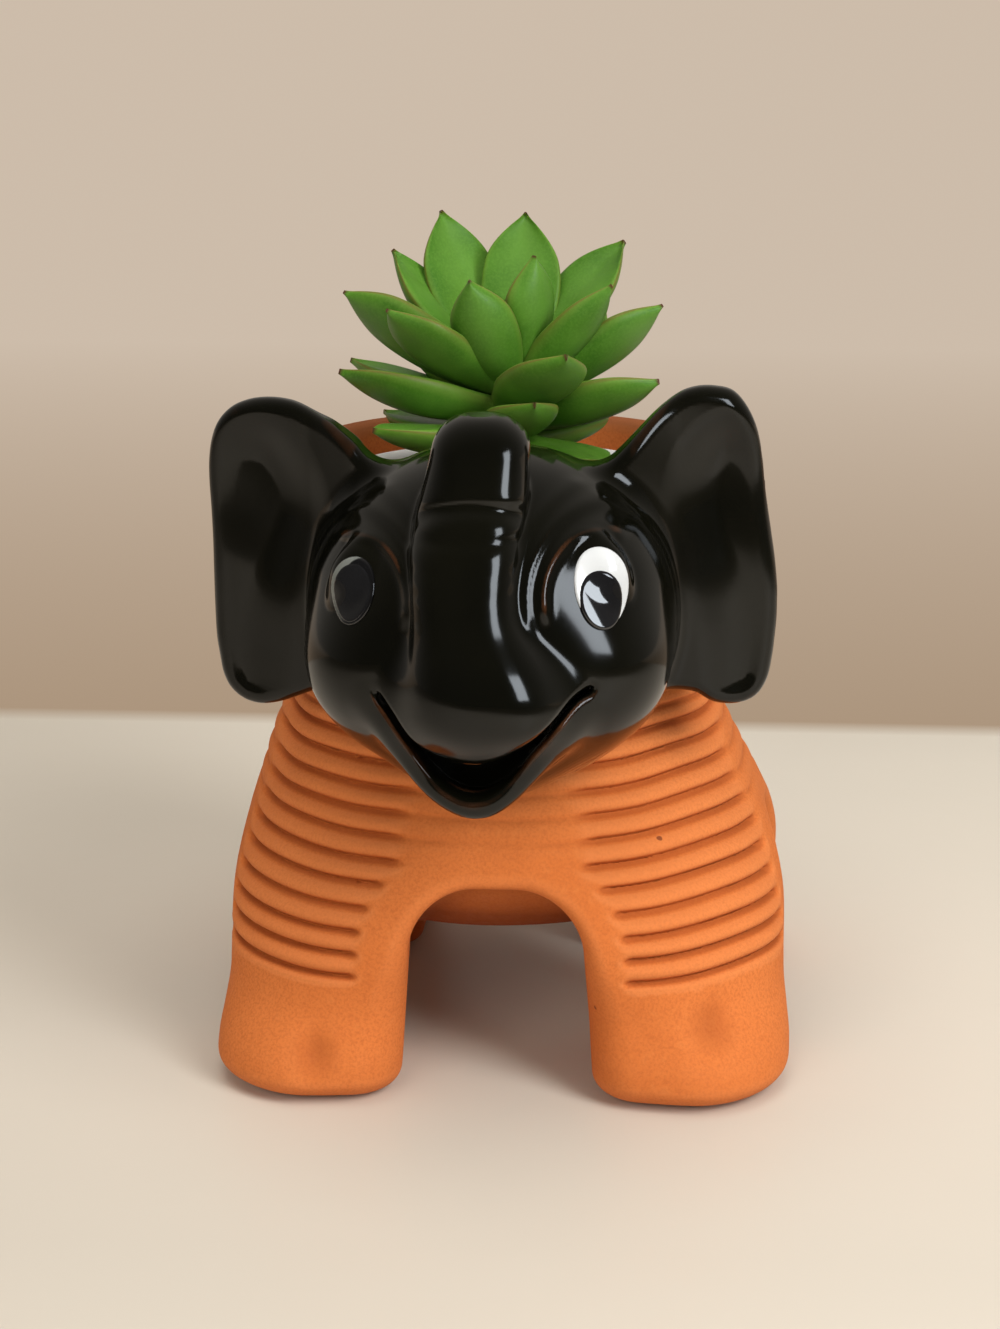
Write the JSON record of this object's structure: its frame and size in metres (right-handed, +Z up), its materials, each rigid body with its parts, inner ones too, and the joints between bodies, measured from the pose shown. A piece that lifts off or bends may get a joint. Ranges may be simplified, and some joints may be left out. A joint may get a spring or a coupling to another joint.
{
  "type": "animal shaped planter",
  "caption": "Elephant shaped planter with a ribbed terracotta body on legs, a glazed black head and a lift-out potted succulent.",
  "frame": {"origin": "on the ground under the middle of the object's bounding box", "axes": "+Z up, -Y to the front where the head is, +X to the right of someone who faces the head"},
  "size_m": [0.14, 0.1805, 0.2027],
  "materials": {
    "terracotta": "unglazed matte earthenware",
    "black_glaze": "gloss black glaze that breaks brown on edges",
    "white_glaze": "gloss white glaze",
    "pupil_glaze": "gloss black glaze",
    "pot_plastic": "satin white plastic",
    "soil": "crumbly potting mix",
    "stem_green": "waxy stem",
    "leaf_green": "waxy succulent leaf"
  },
  "bodies": {
    "planter": {"bowl": "terracotta", "front_leg_left": "terracotta", "front_leg_right": "terracotta", "rear_leg_left": "terracotta", "rear_leg_right": "terracotta", "head_shell": "black_glaze", "trunk": "black_glaze", "lower_jaw": "black_glaze", "ear_left": "black_glaze", "ear_right": "black_glaze", "eye_left": "black_glaze", "eye_right": "white_glaze", "pupil_left": "pupil_glaze", "pupil_right": "pupil_glaze", "tail": "terracotta"},
    "plant": {"nursery_pot": "pot_plastic", "potting_soil": "soil", "succulent_stem": "stem_green", "leaf_01": "leaf_green", "leaf_02": "leaf_green", "leaf_03": "leaf_green", "leaf_04": "leaf_green", "leaf_05": "leaf_green", "leaf_06": "leaf_green", "leaf_07": "leaf_green", "leaf_08": "leaf_green", "leaf_09": "leaf_green", "leaf_10": "leaf_green", "leaf_11": "leaf_green", "leaf_12": "leaf_green", "leaf_13": "leaf_green", "leaf_14": "leaf_green", "leaf_15": "leaf_green", "leaf_16": "leaf_green", "leaf_17": "leaf_green", "leaf_18": "leaf_green", "leaf_19": "leaf_green", "leaf_20": "leaf_green", "leaf_21": "leaf_green", "leaf_22": "leaf_green", "leaf_23": "leaf_green", "leaf_24": "leaf_green", "leaf_25": "leaf_green", "leaf_26": "leaf_green", "leaf_27": "leaf_green", "leaf_28": "leaf_green"}
  },
  "joints": [
    {"name": "plant_lift", "type": "slide", "parent": "planter", "child": "plant", "axis": [0, 0, 1], "range_m": [0, 0.14]}
  ]
}
